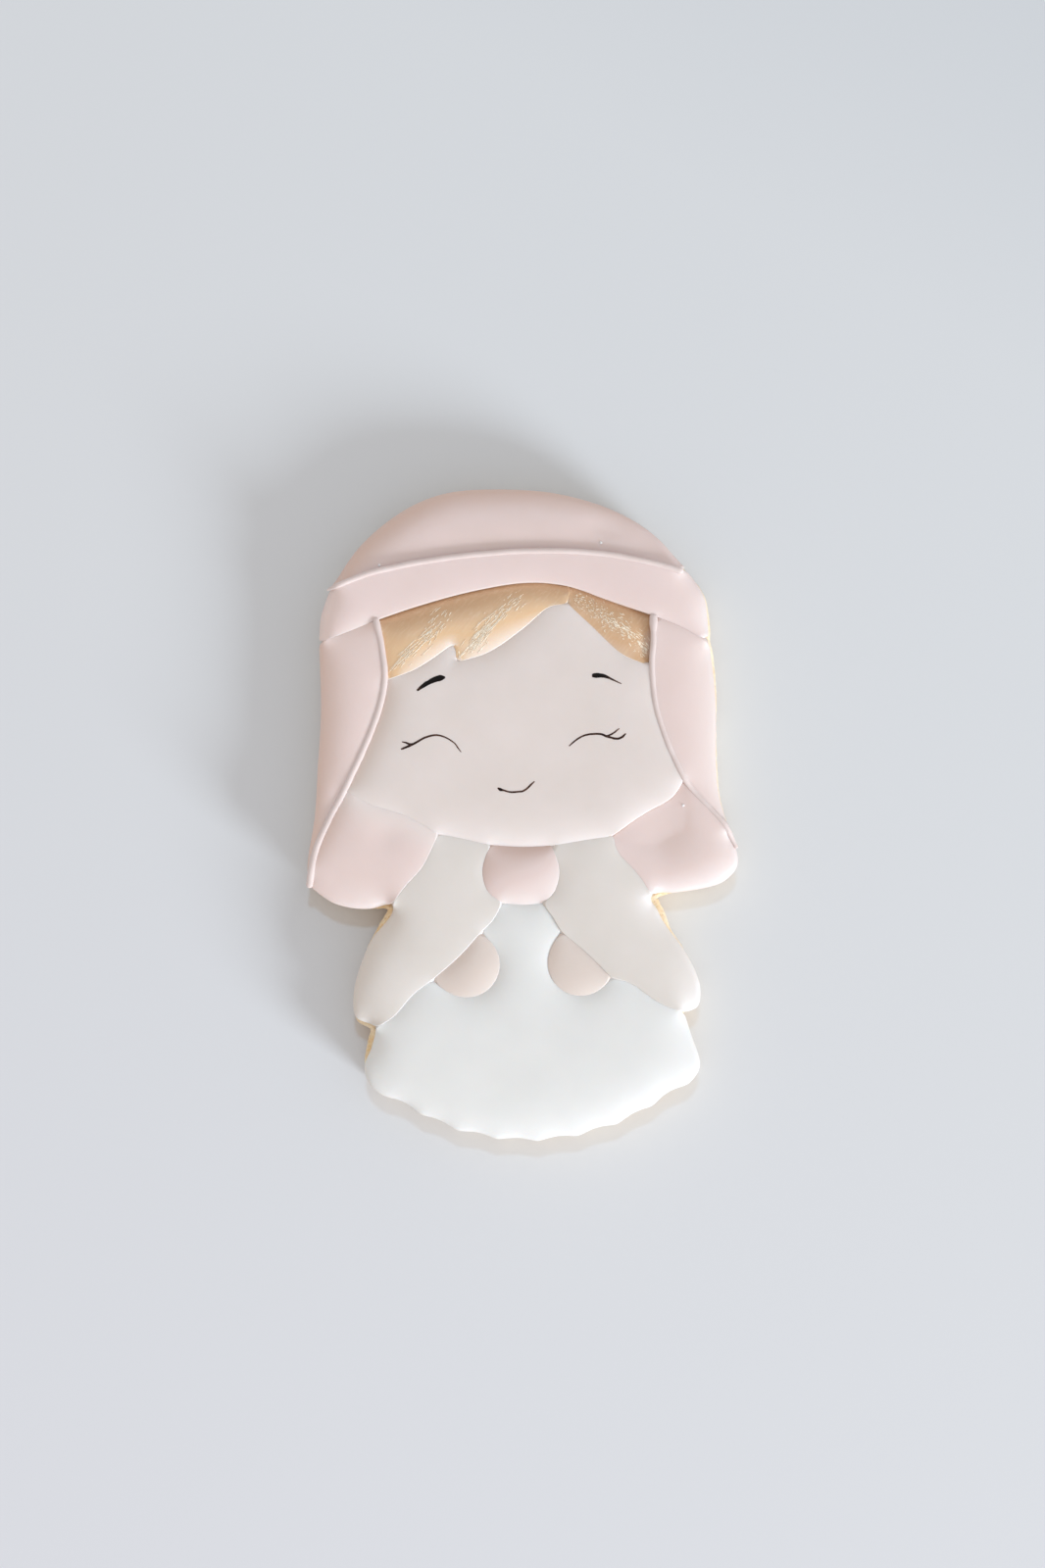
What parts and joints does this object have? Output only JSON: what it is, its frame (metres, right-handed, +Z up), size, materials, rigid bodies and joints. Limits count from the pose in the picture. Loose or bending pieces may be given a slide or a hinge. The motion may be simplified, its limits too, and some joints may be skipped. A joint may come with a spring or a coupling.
{
  "type": "christmas cookie",
  "caption": "Iced sugar biscuit cut as a veiled girl: a flat baked slab under flooded panels of blush, cream, gold and white icing, with piped threads along the veil.",
  "frame": {"origin": "middle of the biscuit's underside, centred on the part's box", "axes": "+Z up through the icing, +Y towards the crown of the head, +X to the figure's left as seen from above (the picture's right)"},
  "size_m": [0.0668, 0.1002, 0.0096],
  "materials": {
    "baked_biscuit": "baked sugar dough: pale gold, dry and fine-crumbed, browner at the foot",
    "blush_icing": "set royal icing in pale blush pink, satin",
    "cream_icing": "set royal icing in warm off-white, satin",
    "ivory_icing": "set royal icing in ivory, satin",
    "white_icing": "set royal icing in plain white, satin",
    "hand_icing": "set royal icing in pale skin tone, satin",
    "gold_icing": "set royal icing in honey gold, brushed with a little pearl lustre",
    "thread_icing": "stiff piped royal icing in the palest pink, matt"
  },
  "bodies": {
    "root": {"biscuit": "baked_biscuit", "dress": "white_icing", "hand_left": "hand_icing", "hand_right": "hand_icing", "sleeve_left": "ivory_icing", "sleeve_right": "ivory_icing", "veil_knot": "blush_icing", "veil_tail_left": "blush_icing", "veil_tail_right": "blush_icing", "face": "cream_icing", "fringe_left": "gold_icing", "fringe_right": "gold_icing", "veil_side_left": "blush_icing", "veil_side_right": "blush_icing", "veil_band": "blush_icing", "veil_crown": "blush_icing", "thread_brow": "thread_icing", "thread_left": "thread_icing", "thread_right": "thread_icing"}
  },
  "joints": []
}
